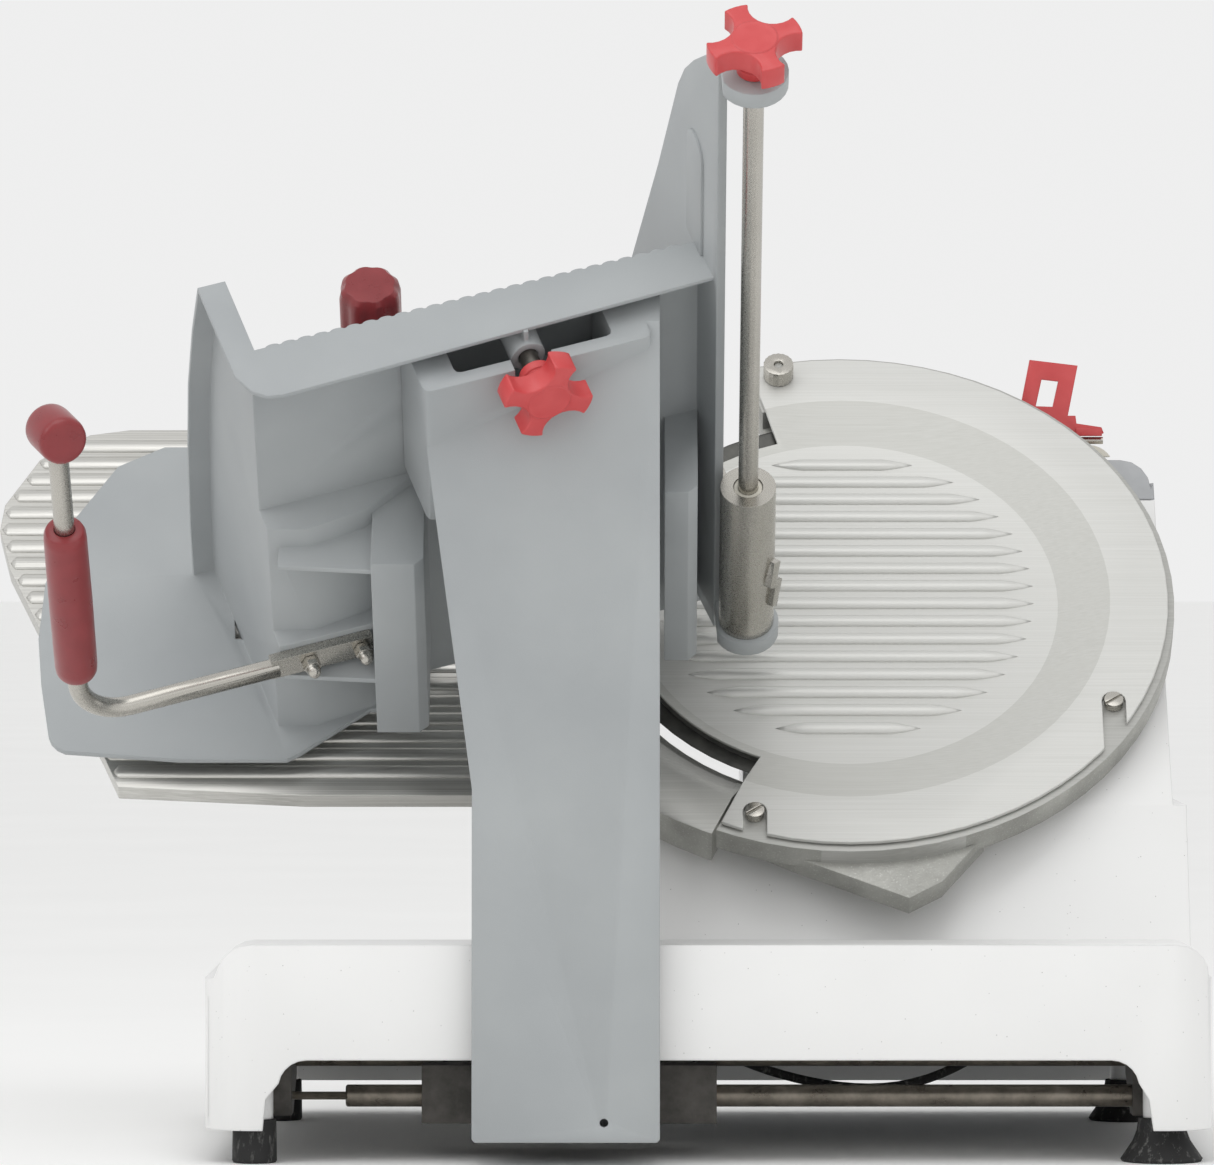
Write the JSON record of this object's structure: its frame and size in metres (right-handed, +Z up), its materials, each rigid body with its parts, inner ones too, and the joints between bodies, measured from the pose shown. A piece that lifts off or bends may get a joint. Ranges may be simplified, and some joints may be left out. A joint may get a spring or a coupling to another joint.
{
  "type": "meat slicer",
  "caption": "Gravity-feed deli slicer: tilted round knife under a satin cover, sliding grey food tray with pusher and side handle, fluted gauge plate, white enamelled base.",
  "frame": {"origin": "centre of the overall bounding box, at the undersides of the feet", "axes": "+Z up; +X along the carriage's travel, from the operator's handle to the motor tower; -Y faces the carriage arm, +Y the operator's controls"},
  "size_m": [0.8038, 0.6804, 0.7257],
  "materials": {
    "white_enamel": "speckled white enamel on cast aluminium",
    "grey_casting": "matte grey coated casting",
    "cast_aluminium": "as cast and machined",
    "satin_aluminium": "fine satin anodised",
    "knife_steel": "polished tool steel",
    "stainless_steel": "ground bar",
    "dark_steel": "dark turned steel",
    "signal_red": "moulded red plastic",
    "burgundy": "moulded dark red plastic",
    "black_rubber": "matte",
    "black_plastic": "fine texture",
    "bronze": "sintered bronze",
    "grey_plastic": "satin moulded",
    "pale_plastic": "satin moulded",
    "green_plastic": "moulded",
    "zinc_plate": "zinc-coated sheet"
  },
  "bodies": {
    "machine_base": {"base_housing": "white_enamel", "foot_front_left": "black_rubber", "foot_rear_left": "black_rubber", "foot_front_right": "black_rubber", "foot_rear_right": "black_rubber", "tower_cap": "grey_plastic", "service_cover": "zinc_plate", "rod_bracket_left": "cast_aluminium", "rod_bracket_right": "cast_aluminium", "slide_rod": "stainless_steel", "guide_rail": "stainless_steel", "ring_casting": "cast_aluminium", "knife_cover_plate": "satin_aluminium", "cover_screw_lower": "stainless_steel", "cover_screw_right": "stainless_steel", "bearing_housing": "cast_aluminium", "knife_bearing_front": "dark_steel", "knife_bearing_rear": "dark_steel", "motor_mount": "zinc_plate", "motor": "cast_aluminium", "drive_belt": "black_rubber", "slice_deflector": "zinc_plate", "gauge_guide": "cast_aluminium", "switch_panel": "black_plastic", "cable_gland": "black_plastic", "sharpener_body": "pale_plastic", "sharpener_pin": "stainless_steel", "wiring_loom": "black_rubber"},
    "carriage": {"carriage_slide_block": "cast_aluminium", "slide_bush_left": "bronze", "slide_bush_right": "bronze", "carriage_arm": "grey_casting", "carriage_tray": "grey_casting", "lower_knob_stud": "dark_steel", "handle_rod": "stainless_steel", "handle_grip": "burgundy", "handle_cap": "burgundy", "handle_nut_outer": "stainless_steel", "handle_nut_inner": "stainless_steel", "pusher_rod": "stainless_steel"},
    "roller": {"guide_roller": "black_plastic"},
    "knife_group": {"knife": "knife_steel", "knife_shaft": "dark_steel", "knife_pulley": "cast_aluminium"},
    "motor_rotor": {"motor_pulley": "dark_steel"},
    "gauge": {"gauge_plate": "satin_aluminium", "gauge_slide_bar": "stainless_steel"},
    "dial": {"index_dial": "black_plastic"},
    "pusher_carrier": {"pusher_sleeve": "stainless_steel", "pusher_bush": "pale_plastic"},
    "pusher": {"pusher_arm": "stainless_steel", "pusher_plate": "grey_plastic", "pusher_handle": "burgundy"},
    "rod_knob": {"upper_knob": "signal_red"},
    "tray_knob": {"lower_knob": "signal_red"},
    "guard_nut": {"cover_nut": "stainless_steel"},
    "start": {"start_button": "green_plastic"},
    "stop": {"stop_button": "signal_red"},
    "sharpener": {"sharpener_lever": "signal_red"}
  },
  "joints": [
    {"name": "carriage_slide", "type": "slide", "parent": "machine_base", "child": "carriage", "axis": [1, 0, 0], "range_m": [-0.04, 0.26]},
    {"name": "roller_turn", "type": "hinge", "parent": "carriage", "child": "roller", "pos_m": [-0.0101, -0.0238, 0.0462], "axis": [0, 1, 0], "range_deg": [-1760, 280]},
    {"name": "knife_spin", "type": "hinge", "parent": "machine_base", "child": "knife_group", "pos_m": [0.1739, 0.1522, 0.362], "axis": [0, -0.7431, 0.6691], "continuous": true},
    {"name": "motor_spin", "type": "hinge", "parent": "machine_base", "child": "motor_rotor", "pos_m": [0.2439, 0.11722, 0.17819], "axis": [0, -0.7431, 0.6691], "continuous": true},
    {"name": "index_turn", "type": "hinge", "parent": "machine_base", "child": "dial", "pos_m": [-0.1481, 0.3222, 0.07], "axis": [0, 1, 0], "range_deg": [0, 300]},
    {"name": "gauge_slide", "type": "slide", "parent": "machine_base", "child": "gauge", "axis": [0, -0.7431, 0.6691], "range_m": [-0.024, 0]},
    {"name": "pusher_slide", "type": "slide", "parent": "carriage", "child": "pusher_carrier", "axis": [0, -0.7431, 0.6691], "range_m": [0, 0.36]},
    {"name": "pusher_swing", "type": "hinge", "parent": "pusher_carrier", "child": "pusher", "pos_m": [0.10601, 0.05127, 0.36946], "axis": [0, -0.7431, 0.6691], "range_deg": [-85, 0]},
    {"name": "rod_knob_turn", "type": "hinge", "parent": "carriage", "child": "rod_knob", "pos_m": [0.10601, -0.30916, 0.69399], "axis": [0, -0.7431, 0.6691], "continuous": true},
    {"name": "tray_knob_turn", "type": "hinge", "parent": "carriage", "child": "tray_knob", "pos_m": [-0.02665, -0.17029, 0.49553], "axis": [0.3256, -0.6327, -0.7027], "continuous": true},
    {"name": "guard_nut_turn", "type": "hinge", "parent": "machine_base", "child": "guard_nut", "pos_m": [0.13097, 0.2829, 0.51612], "axis": [0, -0.7431, 0.6691], "continuous": true},
    {"name": "start_press", "type": "slide", "parent": "machine_base", "child": "start", "axis": [0, -1, 0], "range_m": [0, 0.003], "stiffness_N_per_m": 300, "springref_m": -0.002},
    {"name": "stop_press", "type": "slide", "parent": "machine_base", "child": "stop", "axis": [0, -1, 0], "range_m": [0, 0.003], "stiffness_N_per_m": 300, "springref_m": -0.002},
    {"name": "sharpener_tilt", "type": "hinge", "parent": "machine_base", "child": "sharpener", "pos_m": [0.3239, 0.2992, 0.4678], "axis": [1, 0, 0], "range_deg": [-25, 0]}
  ],
  "couplings": [
    {"joint": "roller_turn", "follows": "carriage_slide", "rad_per_m": -117.65},
    {"joint": "motor_spin", "follows": "knife_spin", "ratio": 2.1818},
    {"joint": "index_turn", "follows": "gauge_slide", "rad_per_m": -218.17}
  ]
}
